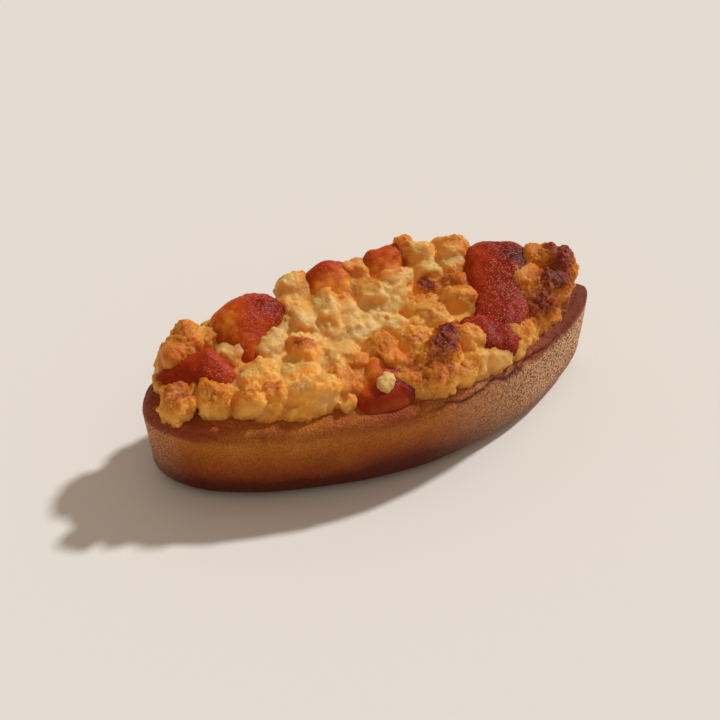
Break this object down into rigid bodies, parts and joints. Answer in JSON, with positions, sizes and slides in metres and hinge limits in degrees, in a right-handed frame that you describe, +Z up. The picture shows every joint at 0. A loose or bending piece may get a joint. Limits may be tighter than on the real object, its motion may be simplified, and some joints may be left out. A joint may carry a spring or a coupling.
{
  "type": "financier cake",
  "caption": "Small boat-shaped almond cake with a moulded wall, topped with a lumpy butter crumble and baked pieces of apricot, for serving as one portion.",
  "frame": {"origin": "centre of the cake's box, on the surface that it stands on", "axes": "+X along the cake to its sharper end, +Y to the side where the topping is highest, +Z up"},
  "size_m": [0.1, 0.044, 0.0311],
  "materials": {
    "cake": "browned fine-pored sponge",
    "crumble": "dry baked crumbs",
    "apricot": "moist baked fruit"
  },
  "bodies": {
    "root": {"cake": "cake", "crumble": "crumble", "apricot_left_back": "apricot", "apricot_left_front": "apricot", "apricot_back_middle": "apricot", "apricot_back_right": "apricot", "apricot_right": "apricot", "apricot_front": "apricot"}
  },
  "joints": []
}
